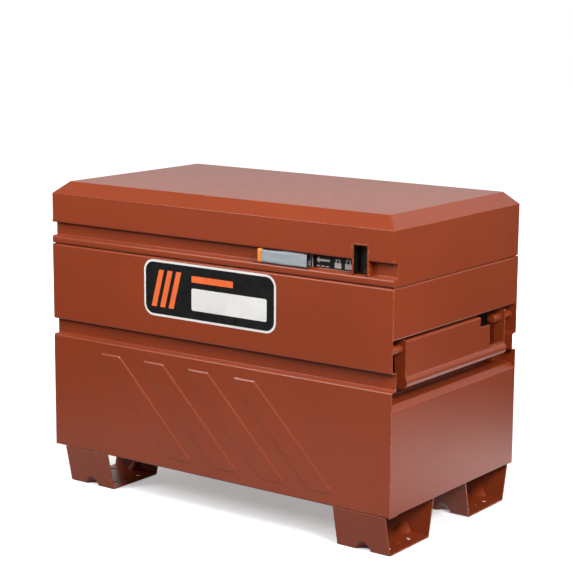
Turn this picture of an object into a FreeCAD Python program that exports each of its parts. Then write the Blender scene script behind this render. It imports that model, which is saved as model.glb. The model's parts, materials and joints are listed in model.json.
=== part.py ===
import FreeCAD, Part
import math
import os

import Sketcher
from FreeCAD import Placement, Rotation, Vector

# Jobsite storage box, in millimetres.
# +X runs along the width, +Y to the rear and +Z up. The origin is on the floor,
# under the middle of the box.

# Driving dimensions: alias, value, meaning. A drop is measured downward, and a height without
# another datum is measured from the body's underside or from the lid's lower edge.
DRIVING_SIZES = [
    ("box_width", 914.4, "outside width of body and lid"),
    ("box_depth", 508.0, "outside depth of body and lid"),
    ("body_height", 470.0, "underside of the body to its rim"),
    ("foot_height", 86.0, "floor to the underside of the body"),
    ("seam_gap", 2.0, "gap between rim and lid"),
    ("lid_height", 139.0, "lower edge of the lid to its top"),
    ("panel_sheet", 2.0, "sheet thickness of body and lid"),
    ("bend", 2.0, "inside radius of a press-brake bend"),
    ("soft_bend", 4.0, "inside radius of the wide bends beside a groove"),
    ("rim_flange", 30.0, "width of the flanges at rim and floor"),
    ("rim_lip", 12.0, "height of the lip under the rim flange"),
    ("groove_drop", 208.0, "rim to the lower edge of the stiffening groove"),
    ("groove_height", 35.0, "height of the stiffening groove"),
    ("groove_depth", 15.0, "depth of the stiffening groove"),
    ("pressing_low", 24.0, "height of the lower edge of the front pressings"),
    ("pressing_margin", 27.0, "top of a front pressing to the groove"),
    ("pressing_width", 70.0, "width of a front pressing"),
    ("pressing_pitch", 125.0, "distance between front pressings"),
    ("pressing_lean", 211.0, "foot of a front pressing, right of its head"),
    ("pressing_rise", 1.6, "how far a front pressing stands out"),
    ("pressing_edge", 3.0, "width of a front pressing's sloped edge"),
    ("rib_width", 26.0, "width of a floor rib"),
    ("rib_height", 6.0, "height of a floor rib"),
    ("rib_spacing", 190.0, "distance between floor ribs"),
    ("recess_foot_drop", 251.0, "rim to the lower edge of the handle recess"),
    ("recess_head_drop", 106.0, "rim to the upper edge of the handle recess"),
    ("recess_depth", 50.0, "depth of the handle recess"),
    ("ledge_bevel", 12.0, "bevel along the recess ledge"),
    ("cord_port_inset", 62.5, "rear face of the box to the cord port"),
    ("cord_port_drop", 34.0, "upper edge of the recess to the cord port"),
    ("cord_port_radius", 16.0, "hole of the cord port"),
    ("cord_ring_width", 5.0, "rim of the cord port around its hole"),
    ("cord_ring_thickness", 2.5, "rim of the cord port, off the wall"),
    ("foot_length", 128.0, "length of a foot along the width of the box"),
    ("foot_depth", 190.0, "depth of a foot at its top"),
    ("foot_taper", 19.0, "how far each foot wall leans in"),
    ("foot_sheet", 3.0, "sheet thickness of a foot"),
    ("left_foot_inset", 30.0, "left end of the box to the left feet"),
    ("right_foot_inset", 10.0, "right end of the box to the right feet"),
    ("caster_spacing", 76.2, "spacing of the caster holes, both ways"),
    ("caster_hole_radius", 6.5, "radius of a caster hole"),
    ("drain_hole_radius", 4.0, "radius of the drain hole in a foot"),
    ("dimple_radius", 22.0, "radius of the dimple across a foot bend"),
    ("dimple_reach", 17.0, "height of that dimple on the foot wall"),
    ("handle_front_gap", 56.0, "front face of the box to the handle"),
    ("handle_rear_gap", 44.0, "rear face of the box to the handle"),
    ("handle_drop", 7.0, "upper edge of the recess to the top of the handle plate"),
    ("handle_sheet", 3.0, "sheet thickness of the handle"),
    ("handle_inset", 4.0, "end of the box to the handle plate"),
    ("handle_flange", 12.0, "top flange of the handle plate"),
    ("grip_radius", 15.0, "radius of the rolled grip"),
    ("grip_drop", 68.0, "handle pivot to the grip's centre"),
    ("grip_proud", 1.0, "how far the grip stands out of the end"),
    ("pivot_drop", 18.5, "top of the handle plate to its pivot"),
    ("pivot_inset", 20.0, "end of the box to the handle pivot"),
    ("pivot_radius", 9.0, "radius of a handle pivot pin"),
    ("pivot_reach", 32.0, "pivot pin past the inner face of its cheek"),
    ("cheek_round", 11.0, "corner radius of a cheek"),
    ("cheek_margin", 12.0, "cheek past the pivot's centre"),
    ("running_gap", 0.05, "radial clearance of a pin in its hole"),
    ("seat_gap", 0.3, "clearance between pieces that touch lightly"),
    ("cord_step_length", 108.5, "rear end of the right handle to its shallow step"),
    ("cord_step_deep", 66.5, "rear end of the right handle to its deep step"),
    ("cord_step_drop", 23.0, "top of the handle plate to the shallow step"),
    ("hinge_margin", 27.0, "end of the box to the hinge"),
    ("knuckle_radius", 4.5, "outside radius of a hinge knuckle"),
    ("hinge_pin_radius", 2.5, "radius of the hinge pin"),
    ("leaf_thickness", 1.6, "thickness of a hinge leaf"),
    ("leaf_width", 24.0, "hinge axis to the edge of a leaf"),
    ("knuckle_gap", 1.0, "gap between neighbouring knuckles"),
    ("chamfer_run", 29.0, "lid chamfer measured across, front and ends"),
    ("rear_chamfer_run", 22.0, "lid chamfer measured across, rear"),
    ("chamfer_rise", 26.0, "height of the lid chamfer"),
    ("corner_radius", 3.0, "upright corners of the lid"),
    ("lid_hem", 14.0, "return flange round the lower edge of the lid"),
    ("channel_low", 17.0, "height of the lower edge of the finger channel"),
    ("channel_height", 30.0, "height of the finger channel"),
    ("channel_depth", 15.0, "depth of the finger channel"),
    ("stiffener_x", 190.0, "lid stiffener off the middle of the lid"),
    ("stiffener_width", 34.0, "crown of a lid stiffener"),
    ("stiffener_height", 20.0, "height of a lid stiffener"),
    ("stiffener_flange", 16.0, "flange of a lid stiffener"),
    ("slide_to_port", 225.0, "left end of the slide bar to the padlock port"),
    ("slide_length", 114.0, "length of the slide bar"),
    ("slide_proud", 4.0, "how far the slide bar stands out of the lid"),
    ("slide_gap", 0.8, "slide bar to the channel, above and below"),
    ("slide_sheet", 2.0, "sheet thickness of the slide bar"),
    ("lock_travel", 40.0, "travel of the lock"),
    ("flag_length", 10.0, "position flag past the end of the slide bar"),
    ("flag_spigot", 8.0, "position flag inside the slide bar"),
    ("bar_thickness", 6.0, "thickness of the lock bar"),
    ("bar_height", 20.0, "height of the lock bar"),
    ("bar_low", 23.0, "height of the lock bar's lower edge"),
    ("bar_inset", 157.2, "left end of the box to the lock bar"),
    ("bar_gap", 1.0, "lock bar to the channel wall"),
    ("stud_radius", 4.0, "radius of a stud between slide and lock bar"),
    ("stud_inset", 17.0, "left end of the slide bar to the first stud"),
    ("stud_spacing", 40.0, "distance between the two studs"),
    ("hook_inset", 187.2, "left end of the box to the left hook"),
    ("hook_to_port", 132.0, "left edge of the right hook to the padlock port"),
    ("hook_shank", 20.0, "width of a hook's shank"),
    ("hook_toe", 18.0, "length of a hook's toe"),
    ("hook_toe_height", 8.0, "height of a hook's toe"),
    ("hook_thickness", 4.0, "thickness of a hook"),
    ("keeper_thickness", 4.0, "thickness of a keeper"),
    ("keeper_length", 34.0, "length of a keeper"),
    ("slot_gap", 2.0, "clearance of a hook in its slot"),
    ("guide_length", 24.0, "length of a lock guide"),
    ("guide_sheet", 3.0, "sheet thickness of a lock guide"),
    ("guide_gap", 0.5, "clearance of the lock bar in its guides"),
    ("port_inset", 63.2, "right end of the box to the padlock port"),
    ("port_width", 32.0, "width of the padlock port"),
    ("port_high", 77.0, "height of the padlock port's upper edge"),
    ("housing_wall", 4.0, "wall of the padlock housing"),
    ("housing_depth", 60.0, "depth of the padlock housing"),
    ("shackle_radius", 6.0, "radius of the holes for the shackle"),
    ("staple_y", 27.0, "front of the lid to the staple plate"),
    ("staple_thickness", 4.0, "thickness of the staple plate"),
    ("bumper_radius", 6.0, "radius of a rim bumper"),
    ("bumper_inset", 9.0, "edge of the rim to a bumper's centre"),
    ("spring_base_drop", 38.0, "rim to the lower spring pivot"),
    ("spring_run", 161.0, "lower spring pivot ahead of the upper one"),
    ("spring_lid_inset", 30.0, "rear face of the box to the upper spring pivot"),
    ("spring_lid_height", 29.0, "height of the upper spring pivot in the lid"),
    ("spring_standoff", 40.0, "inside of the end wall to the gas spring"),
    ("spring_radius", 9.0, "radius of a gas spring's cylinder"),
    ("spring_wall", 1.5, "wall of that cylinder"),
    ("rod_radius", 4.0, "radius of a gas spring's rod"),
    ("piston_height", 8.0, "height of a gas spring's piston"),
    ("eye_radius", 8.0, "radius of a spring eye"),
    ("eye_width", 10.0, "width of a spring eye"),
    ("spring_stud_radius", 4.0, "radius of the stud in a spring eye"),
    ("bracket_sheet", 3.0, "sheet thickness of a spring bracket"),
    ("bracket_crown", 20.0, "crown of a spring bracket"),
    ("bracket_flange", 10.0, "flange of a spring bracket"),
    ("bracket_height", 32.0, "height of a spring bracket"),
]

KNUCKLE_COUNT = 11
FLOOR_RIB_COUNT = 3
PRESSING_COUNT = 4
MARGIN = 1.0


class Size:
    """A length that knows its value and the spreadsheet expression that drives it."""

    def __init__(self, value, text):
        self.value = float(value)
        self.text = text

    def joined(self, sign, other, value):
        return Size(value, f"({self.text} {sign} {other.text})")

    def __add__(self, other):
        other = as_size(other)
        return self.joined("+", other, self.value + other.value)

    def __sub__(self, other):
        other = as_size(other)
        return self.joined("-", other, self.value - other.value)

    def __mul__(self, other):
        other = as_size(other)
        return self.joined("*", other, self.value * other.value)

    def __truediv__(self, other):
        other = as_size(other)
        return self.joined("/", other, self.value / other.value)

    def __radd__(self, other):
        return as_size(other) + self

    def __rsub__(self, other):
        return as_size(other) - self

    def __rmul__(self, other):
        return as_size(other) * self

    def __neg__(self):
        return as_size(0.0) - self


def as_size(number):
    if isinstance(number, Size):
        return number
    return Size(number, f"({float(number)!r})")


def diagonal(across, up):
    return Size(math.hypot(across.value, up.value), f"sqrt({across.text}^2 + {up.text}^2)")


class SizeSheet:
    """The spreadsheet of driving dimensions, read back as Size values by alias."""

    def __init__(self, document, rows):
        self.sheet = document.addObject("Spreadsheet::Sheet", "Sizes")
        for number, (alias, value, meaning) in enumerate(rows, 1):
            self.sheet.set(f"A{number}", meaning)
            self.sheet.set(f"B{number}", str(value))
            self.sheet.setAlias(f"B{number}", alias)
        document.recompute()

    def __getattr__(self, alias):
        return Size(self.sheet.get(alias), f"Sizes.{alias}")


doc = FreeCAD.newDocument("StorageBox")
s = SizeSheet(doc, DRIVING_SIZES)

nodes = []
cuts = []

# Faces and heights that many pieces share.
half_width = s.box_width / 2
hinge_proud = s.knuckle_radius * 2
front = (s.slide_proud - hinge_proud - s.box_depth) / 2
rear = front + s.box_depth
body_low = s.foot_height
rim = body_low + s.body_height
lid_low = rim + s.seam_gap
lid_top = lid_low + s.lid_height
groove_low = rim - s.groove_drop
groove_high = groove_low + s.groove_height
wall_inside = half_width - s.panel_sheet
recess_back = half_width - s.recess_depth
recess_low = rim - s.recess_foot_drop
ledge = recess_low + s.ledge_bevel
recess_high = rim - s.recess_head_drop
cord_port_y = rear - s.cord_port_inset
cord_port_z = recess_high - s.cord_port_drop
channel_low = lid_low + s.channel_low
channel_high = channel_low + s.channel_height
channel_back = front + s.channel_depth + s.panel_sheet
port_right = half_width - s.port_inset
port_left = port_right - s.port_width
slide_left = port_left - s.slide_to_port
hook_lefts = [s.hook_inset - half_width, port_left - s.hook_to_port]


# ---------------------------------------------------------------- drawing

def rectangle(x0, x1, y0, y1, radius=0):
    return [(x0, y0, radius), (x1, y0, radius), (x1, y1, radius), (x0, y1, radius)]


def circle(x, y, radius):
    return (as_size(x), as_size(y), as_size(radius))


def mirrored(loop, side):
    """The loop itself for side 1, its mirror image about the upright axis for side -1."""
    if isinstance(loop, tuple):
        return (loop[0] * side, loop[1], loop[2])
    return [(x * side, y, radius) for x, y, radius in loop]


def unit(start, end):
    across = as_size(end[0]).value - as_size(start[0]).value
    up = as_size(end[1]).value - as_size(start[1]).value
    length = math.hypot(across, up)
    return across / length, up / length


def bent(path, thickness, side):
    """Outline of a bent sheet. The path runs along one face; side 1 puts the sheet on its
    right, side -1 on its left. A path point is (x, y) or (x, y, inside bend radius)."""
    directions = [unit(a, b) for a, b in zip(path, path[1:])]
    near = []
    far = []
    for index, point in enumerate(path):
        x, y = point[0], point[1]
        inside = point[2] if len(point) > 2 else s.bend
        if index in (0, len(path) - 1):
            dx, dy = directions[min(index, len(directions) - 1)]
            shift_x, shift_y = dy * side, -dx * side
            near_radius = far_radius = 0
        else:
            (ax, ay), (bx, by) = directions[index - 1], directions[index]
            scale = side / (1 + ax * bx + ay * by)
            shift_x, shift_y = (ay + by) * scale, -(ax + bx) * scale
            outer_near = (ax * by - ay * bx) * side < 0
            near_radius = inside + thickness if outer_near else inside
            far_radius = inside if outer_near else inside + thickness
        far_x = x + thickness * round(shift_x, 6)
        far_y = y + thickness * round(shift_y, 6)
        near.append((as_size(x), as_size(y), near_radius))
        far.append((far_x, far_y, far_radius))
    return near + far[::-1]


def draw_circle(sketch, x, y, radius):
    centre = Vector(x.value, y.value, 0)
    geometry = sketch.addGeometry(Part.Circle(centre, Vector(0, 0, 1), radius.value))
    centre_and_size = [
        ("DistanceX", (geometry, 3), x),
        ("DistanceY", (geometry, 3), y),
        ("Radius", (geometry,), radius),
    ]
    drive(sketch, centre_and_size)


def drive(sketch, dimensions):
    """Adds dimensions to a sketch and binds each to its spreadsheet expression."""
    for kind, reference, size in dimensions:
        constraint = sketch.addConstraint(Sketcher.Constraint(kind, *reference, size.value))
        sketch.setExpression(f"Constraints[{constraint}]", size.text)


def draw_loop(sketch, corners):
    """A closed outline of straight edges whose corners are round where they have a radius."""
    corners = [(as_size(x), as_size(y), as_size(radius)) for x, y, radius in corners]
    points = [Vector(x.value, y.value, 0) for x, y, _ in corners]
    count = len(corners)
    entries = []
    exits = []
    arcs = []
    for index, point in enumerate(points):
        before = (point - points[index - 1]).normalize()
        after = (points[(index + 1) % count] - point).normalize()
        radius = corners[index][2].value
        turn = math.atan2(before.cross(after).z, before.dot(after))
        reach = radius * math.tan(abs(turn) / 2)
        entry = point - before * reach
        leave = point + after * reach
        entries.append(entry)
        exits.append(leave)
        if radius <= 0:
            arcs.append(None)
            continue
        inward = 1 if turn > 0 else -1
        centre = entry + Vector(-before.y, before.x, 0) * radius * inward
        first, last = (entry, leave) if inward > 0 else (leave, entry)
        start = math.atan2(first.y - centre.y, first.x - centre.x)
        stop = math.atan2(last.y - centre.y, last.x - centre.x)
        ring = Part.Circle(centre, Vector(0, 0, 1), radius)
        arcs.append((Part.ArcOfCircle(ring, start, stop), inward))
    lines = [Part.LineSegment(exits[i], entries[(i + 1) % count]) for i in range(count)]
    line_ids = list(sketch.addGeometry(lines, False))
    links = []
    dimensions = []
    for index, (x, y, radius) in enumerate(corners):
        before = line_ids[index - 1]
        after = line_ids[index]
        if arcs[index] is None:
            links.append(Sketcher.Constraint("Coincident", before, 2, after, 1))
            dimensions.append(("DistanceX", (after, 1), x))
            dimensions.append(("DistanceY", (after, 1), y))
            continue
        arc, inward = arcs[index]
        arc_id = sketch.addGeometry(arc, False)
        corner_id = sketch.addGeometry(Part.Point(points[index]), True)
        entry_end, leave_end = (1, 2) if inward > 0 else (2, 1)
        links.append(Sketcher.Constraint("Tangent", before, 2, arc_id, entry_end))
        links.append(Sketcher.Constraint("Tangent", arc_id, leave_end, after, 1))
        links.append(Sketcher.Constraint("PointOnObject", corner_id, 1, before))
        links.append(Sketcher.Constraint("PointOnObject", corner_id, 1, after))
        dimensions.append(("Radius", (arc_id,), radius))
        dimensions.append(("DistanceX", (corner_id, 1), x))
        dimensions.append(("DistanceY", (corner_id, 1), y))
    sketch.addConstraint(links)
    drive(sketch, dimensions)


def sketch_on(body, name, plane, loops, place):
    """A sketch on one of the body's own origin planes, moved along that plane's normal."""
    sketch = body.newObject("Sketcher::SketchObject", name)
    planes = {item.Role: item for item in body.Origin.OriginFeatures}
    sketch.AttachmentSupport = planes[f"{plane}_Plane"]
    sketch.MapMode = "FlatFace"
    offset = -as_size(place) if plane == "XZ" else as_size(place)
    sketch.setExpression("AttachmentOffset.Base.z", offset.text)
    for loop in loops:
        if isinstance(loop, tuple):
            draw_circle(sketch, *loop)
        else:
            draw_loop(sketch, loop)
    return sketch


# ---------------------------------------------------------------- features

def new_body(label):
    body = doc.addObject("PartDesign::Body", label)
    body.Label = label
    nodes.append(body)
    return body


def pad(body, name, plane, loops, start, end):
    """Adds the loops' area between two places on the axis that crosses the plane."""
    start, end = as_size(start), as_size(end)
    sketch = sketch_on(body, f"{name}Sketch", plane, loops, end if plane == "XZ" else start)
    feature = body.newObject("PartDesign::Pad", name)
    feature.Profile = sketch
    feature.setExpression("Length", (end - start).text)
    sketch.Visibility = False
    return feature


def cut(body, name, plane, loops, start, end):
    """Removes the loops' area between two places on the axis that crosses the plane."""
    start, end = as_size(start), as_size(end)
    before = body.Tip
    sketch = sketch_on(body, f"{name}Sketch", plane, loops, end if plane == "XZ" else start)
    feature = body.newObject("PartDesign::Pocket", name)
    feature.Profile = sketch
    feature.Reversed = True
    feature.setExpression("Length", (end - start).text)
    sketch.Visibility = False
    cuts.append((before, feature))
    return feature


def loft(body, name, kind, plane, near_loop, near, far_loop, far):
    """Adds or removes the solid between two outlines at two places on the plane's normal."""
    before = body.Tip
    near_sketch = sketch_on(body, f"{name}Near", plane, [near_loop], near)
    far_sketch = sketch_on(body, f"{name}Far", plane, [far_loop], far)
    feature = body.newObject(f"PartDesign::{kind}Loft", name)
    feature.Profile = near_sketch
    feature.Sections = [far_sketch]
    feature.Ruled = True
    if kind == "Subtractive":
        cuts.append((before, feature))
    return feature


def spin(body, name, loop):
    """Turns a half outline in the XZ plane about the body's Z axis."""
    sketch = sketch_on(body, f"{name}Sketch", "XZ", [loop], 0)
    feature = body.newObject("PartDesign::Revolution", name)
    feature.Profile = sketch
    feature.ReferenceAxis = (sketch, ["V_Axis"])
    feature.Angle = 360
    return feature


# ---------------------------------------------------------------- body of the box

def wall_path(face, inward):
    """Outer face of the front or rear wall, from its lower edge to its rim."""
    bottom = face + s.groove_depth * inward
    return [
        (face, body_low),
        (face, groove_low, s.soft_bend),
        (bottom, groove_low),
        (bottom, groove_high),
        (face, groove_high),
        (face, rim),
    ]


def long_wall(label, face, inward):
    """Front or rear wall: one sheet with a groove, a floor flange and a lipped rim flange."""
    body = new_body(label)
    flange = face + s.rim_flange * inward
    web = wall_path(face, inward)
    whole = [(flange, body_low), *web, (flange, rim), (flange, rim - s.rim_lip)]
    pad(body, "Sheet", "YZ", [bent(whole, s.panel_sheet, inward)], -wall_inside, wall_inside)
    edge = bent(web, s.panel_sheet, inward)
    pad(body, "RightEdge", "YZ", [edge], wall_inside, half_width)
    pad(body, "LeftEdge", "YZ", [edge], -half_width, -wall_inside)
    return body


def end_path():
    """Outer face of the right end wall, from its lower edge to its rim, round the recess."""
    return [
        (half_width, body_low),
        (half_width, recess_low),
        (half_width - s.ledge_bevel, ledge),
        (recess_back, ledge),
        (recess_back, recess_high),
        (half_width, recess_high),
        (half_width, rim),
    ]


def end_wall(label, side):
    """End wall, folded round the handle recess and notched for the grooves of the long walls."""
    body = new_body(label)
    flange = half_width - s.rim_flange
    web = end_path()
    whole = [(flange, body_low), *web, (flange, rim), (flange, rim - s.rim_lip)]
    front_flange = front + s.rim_flange
    rear_flange = rear - s.rim_flange
    sheet = mirrored(bent(whole, s.panel_sheet, -1), side)
    edge = mirrored(bent(web, s.panel_sheet, -1), side)
    pad(body, "Sheet", "XZ", [sheet], front_flange, rear_flange)
    pad(body, "FrontEdge", "XZ", [edge], front + s.panel_sheet, front_flange)
    pad(body, "RearEdge", "XZ", [edge], rear_flange, rear - s.panel_sheet)
    low = groove_low - s.panel_sheet - s.soft_bend
    high = groove_high + s.panel_sheet + s.bend
    notches = [
        rectangle(front, front + s.groove_depth + s.panel_sheet, low, high),
        rectangle(rear - s.groove_depth - s.panel_sheet, rear, low, high),
    ]
    inner = recess_back - s.panel_sheet - MARGIN
    outer = recess_back + MARGIN
    cut_across(body, "GrooveNotches", notches, inner, outer, side)
    return body


def cut_across(body, name, loops, inner, outer, side):
    """Cuts along X between two distances from the middle, on the right or the left side."""
    if side > 0:
        cut(body, name, "YZ", loops, inner, outer)
    else:
        cut(body, name, "YZ", loops, -outer, -inner)


def pad_across(body, name, loops, inner, outer, side):
    """Pads along X between two distances from the middle, on the right or the left side."""
    if side > 0:
        pad(body, name, "YZ", loops, inner, outer)
    else:
        pad(body, name, "YZ", loops, -outer, -inner)


def hook_slot(left):
    """Left and right end of the slot that a hook needs, from the hook's left edge."""
    return left - s.slot_gap, left + s.hook_shank + s.lock_travel + s.slot_gap


def slanted(middle, inset):
    """Outline of a front pressing: a slanted bar with round corners, inset all round."""
    lean = s.pressing_lean / 2
    foot_z = body_low + s.pressing_low
    height = groove_low - s.pressing_margin - foot_z
    slope = diagonal(s.pressing_lean, height) / height
    reach = s.pressing_width / 2 - inset * slope
    low = foot_z + inset
    high = foot_z + height - inset
    shift = lean - inset * (s.pressing_lean / height)
    radius = s.pressing_edge * 2
    return [
        (middle + shift - reach, low, radius),
        (middle + shift + reach, low, radius),
        (middle - shift + reach, high, radius),
        (middle - shift - reach, high, radius),
    ]


def front_pressings(body):
    """Row of slanted bars pressed outward from the front wall, hollow behind."""
    face = front - s.pressing_rise
    inside = front + s.panel_sheet
    pocket = inside - s.pressing_rise
    for index in range(PRESSING_COUNT):
        middle = (index - (PRESSING_COUNT - 1) / 2) * s.pressing_pitch
        wide = slanted(middle, as_size(0.0))
        narrow = slanted(middle, s.pressing_edge)
        loft(body, f"Pressing{index}", "Additive", "XZ", wide, front, narrow, face)
        loft(body, f"Hollow{index}", "Subtractive", "XZ", wide, inside, narrow, pocket)


def front_wall():
    body = long_wall("front_panel", front, 1)
    front_pressings(body)
    hook_y = channel_back + s.bar_gap + s.bar_thickness / 2
    reach = s.hook_thickness / 2 + s.slot_gap + MARGIN
    slots = []
    for left in hook_lefts:
        start, end = hook_slot(left)
        slots.append(rectangle(start, end, hook_y - reach, hook_y + reach, s.slot_gap))
    cut(body, "HookSlots", "XY", slots, rim - s.panel_sheet - MARGIN, rim + MARGIN)


def right_end_wall():
    body = end_wall("right_end_panel", 1)
    hole = circle(cord_port_y, cord_port_z, s.cord_port_radius)
    inner = recess_back - s.panel_sheet - MARGIN
    cut_across(body, "CordPort", [hole], inner, recess_back + MARGIN, 1)


def floor_plate():
    """Floor sheet on the flanges of the four walls, with ribs pressed up into the box."""
    body = new_body("floor_panel")
    edge = s.panel_sheet + s.bend
    left, right = edge - half_width, half_width - edge
    floor = body_low + s.panel_sheet
    sheet = rectangle(left, right, front + edge, rear - edge)
    pad(body, "Sheet", "XY", [sheet], floor, floor + s.panel_sheet)
    near = front + s.rim_flange * 2
    far = rear - s.rim_flange * 2
    wall = s.panel_sheet
    ribs = []
    hollows = []
    for index in range(FLOOR_RIB_COUNT):
        middle = (index - (FLOOR_RIB_COUNT - 1) / 2) * s.rib_spacing
        start = middle - s.rib_width / 2
        end = middle + s.rib_width / 2
        ribs.append(rectangle(start, end, near, far, s.rib_height))
        hollow = rectangle(start + wall, end - wall, near + wall, far - wall, s.rib_height - wall)
        hollows.append(hollow)
    rib_top = floor + s.panel_sheet + s.rib_height
    pad(body, "Ribs", "XY", ribs, floor, rib_top)
    cut(body, "RibHollows", "XY", hollows, floor - MARGIN, rib_top - s.panel_sheet)


def foot(label, left, toward):
    """Tapered channel open at both ends. Toward is 1 for a front foot and -1 for a rear foot."""
    body = new_body(label)
    right = left + s.foot_length
    middle = left + s.foot_length / 2
    wall = s.foot_sheet
    outer = front if toward > 0 else rear
    inner = outer + s.foot_depth * toward
    outer_toe = outer + s.foot_taper * toward
    inner_toe = inner - s.foot_taper * toward
    lean = s.foot_taper * (wall / s.foot_height)
    outside = [
        (outer, body_low, 0),
        (outer_toe, 0, s.bend + wall),
        (inner_toe, 0, s.bend + wall),
        (inner, body_low, 0),
    ]
    inside = [
        (inner - wall * toward, body_low, 0),
        (inner_toe + (lean - wall) * toward, wall, s.bend),
        (outer_toe - (lean - wall) * toward, wall, s.bend),
        (outer + wall * toward, body_low, 0),
    ]
    pad(body, "Channel", "YZ", [outside + inside], left, right)
    bends = [(outer_toe, toward), (inner_toe, -toward)]
    for number, (toe, way) in enumerate(bends, 1):
        bend_cylinder(body, f"Dimple{number}", "Additive", middle, toe, way, s.dimple_radius + wall)
    waste = (s.dimple_reach + s.dimple_radius) * 2
    low, high = (outer, inner) if toward > 0 else (inner, outer)
    frame = [
        (low - waste, body_low + MARGIN, 0),
        (low - waste, -waste, 0),
        (high + waste, -waste, 0),
        (high + waste, body_low + MARGIN, 0),
    ]
    sides = outside if toward > 0 else outside[::-1]
    cut(body, "Trim", "YZ", [frame + sides[::-1]], left - MARGIN, right + MARGIN)
    for number, (toe, way) in enumerate(bends, 1):
        bend_cylinder(body, f"Hollow{number}", "Subtractive", middle, toe, way, s.dimple_radius)
    centre = (outer + inner) / 2
    step = s.caster_spacing / 2
    places = [(middle + step * i, centre + step * j) for i in (-1, 1) for j in (-1, 1)]
    holes = [circle(x, y, s.caster_hole_radius) for x, y in places]
    holes.append(circle(middle + step, centre, s.drain_hole_radius))
    cut(body, "Holes", "XY", holes, -MARGIN, wall + MARGIN)


def bend_cylinder(body, name, kind, x, toe, toward, radius):
    """Cylinder that dents a foot bend: its axis leans 45 degrees and lies outside the bend."""
    before = body.Tip
    slope = math.sqrt(0.5)
    length = s.dimple_reach * 3
    feature = body.newObject(f"PartDesign::{kind}Cylinder", name)
    feature.setExpression("Radius", radius.text)
    feature.setExpression("Height", length.text)
    turned = Rotation(Vector(0, 0, 1), Vector(0, toward, -1))
    feature.Placement = Placement(Vector(0, 0, 0), turned)
    y = toe + (s.dimple_reach / 2 - s.dimple_radius * slope - length / 2 * slope) * toward
    z = s.dimple_reach / 2 - s.dimple_radius * slope + length / 2 * slope
    feature.setExpression("Placement.Base.x", x.text)
    feature.setExpression("Placement.Base.y", y.text)
    feature.setExpression("Placement.Base.z", z.text)
    if kind == "Subtractive":
        cuts.append((before, feature))


def feet():
    left_x = s.left_foot_inset - half_width
    right_x = half_width - s.right_foot_inset - s.foot_length
    foot("front_left_foot", left_x, 1)
    foot("front_right_foot", right_x, 1)
    foot("rear_left_foot", left_x, -1)
    foot("rear_right_foot", right_x, -1)


def rim_bumpers():
    """Rubber buttons on the corners of the rim, under the lid's hem."""
    body = new_body("rim_bumpers")
    x = half_width - s.bumper_inset
    near = front + s.bumper_inset
    far = rear - s.bumper_inset
    discs = [circle(x * side, y, s.bumper_radius) for side in (-1, 1) for y in (near, far)]
    pad(body, "Buttons", "XY", discs, rim, lid_low - s.seat_gap)


def lock_keepers():
    """Plates under the rim flange that the toes of the hooks slide below."""
    body = new_body("lock_keepers")
    low = rim - s.panel_sheet - s.keeper_thickness
    near = front + s.panel_sheet + s.bend + MARGIN
    far = front + s.rim_flange - s.panel_sheet - s.bend - MARGIN
    plates = []
    for left in hook_lefts:
        start = hook_slot(left)[1]
        plates.append(rectangle(start, start + s.keeper_length, near, far))
    pad(body, "Plates", "XY", plates, low, rim - s.panel_sheet)


def cord_port():
    """Grommet with a closed membrane in the right end wall, and the rim that frames it."""
    outer = recess_back + s.cord_ring_thickness
    inner = recess_back - s.panel_sheet - s.cord_ring_thickness
    hole = circle(cord_port_y, cord_port_z, s.cord_port_radius)
    edge = circle(cord_port_y, cord_port_z, s.cord_port_radius + s.cord_ring_width)
    plug = circle(cord_port_y, cord_port_z, s.cord_port_radius - s.running_gap)
    ring = new_body("cord_port_rim")
    pad(ring, "Rim", "YZ", [edge, hole], recess_back, outer)
    grommet = new_body("cord_port_grommet")
    pad(grommet, "Plug", "YZ", [plug], inner, outer - MARGIN)
    pad(grommet, "Flange", "YZ", [edge], inner, recess_back - s.panel_sheet)


# ---------------------------------------------------------------- handles

handle_face = half_width - s.handle_inset
handle_top = recess_high - s.handle_drop
pivot_x = half_width - s.pivot_inset
pivot_z = handle_top - s.pivot_drop
grip_x = half_width + s.grip_proud - s.grip_radius
grip_z = pivot_z - s.grip_drop
handle_front = front + s.handle_front_gap
handle_rear = rear - s.handle_rear_gap


def handle_plate(label, side):
    """Handle plate with a flange along its top and its lower edge rolled into a grip."""
    body = new_body(label)
    start = handle_front + s.handle_sheet
    end = handle_rear - s.handle_sheet
    path = [
        (handle_face, grip_z),
        (handle_face, handle_top),
        (handle_face - s.handle_flange, handle_top),
    ]
    ring = circle(grip_x, grip_z, s.grip_radius)
    bore = circle(grip_x, grip_z, s.grip_radius - s.handle_sheet)
    pad(body, "Plate", "XZ", [mirrored(bent(path, s.handle_sheet, -1), side)], start, end)
    pad(body, "Grip", "XZ", [mirrored(ring, side)], start, end)
    cut(body, "GripBore", "XZ", [mirrored(bore, side)], start - MARGIN, end + MARGIN)
    return body


def right_handle_plate():
    """The right plate steps down at its rear end, clear of the cord port."""
    body = handle_plate("right_handle_plate", 1)
    start = handle_rear - s.cord_step_length
    middle = handle_rear - s.cord_step_deep
    end = handle_rear - s.handle_sheet + MARGIN
    middle_z = handle_top - s.cord_step_drop
    low_z = grip_z + s.grip_radius
    top = handle_top + MARGIN
    step = [
        (start, top, 0),
        (start, middle_z, s.handle_sheet),
        (middle, middle_z, s.handle_sheet),
        (middle, low_z, s.handle_sheet),
        (end, low_z, 0),
        (end, top, 0),
    ]
    inner = handle_face - s.handle_flange - MARGIN
    cut_across(body, "CordStep", [step], inner, handle_face + MARGIN, 1)


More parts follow.
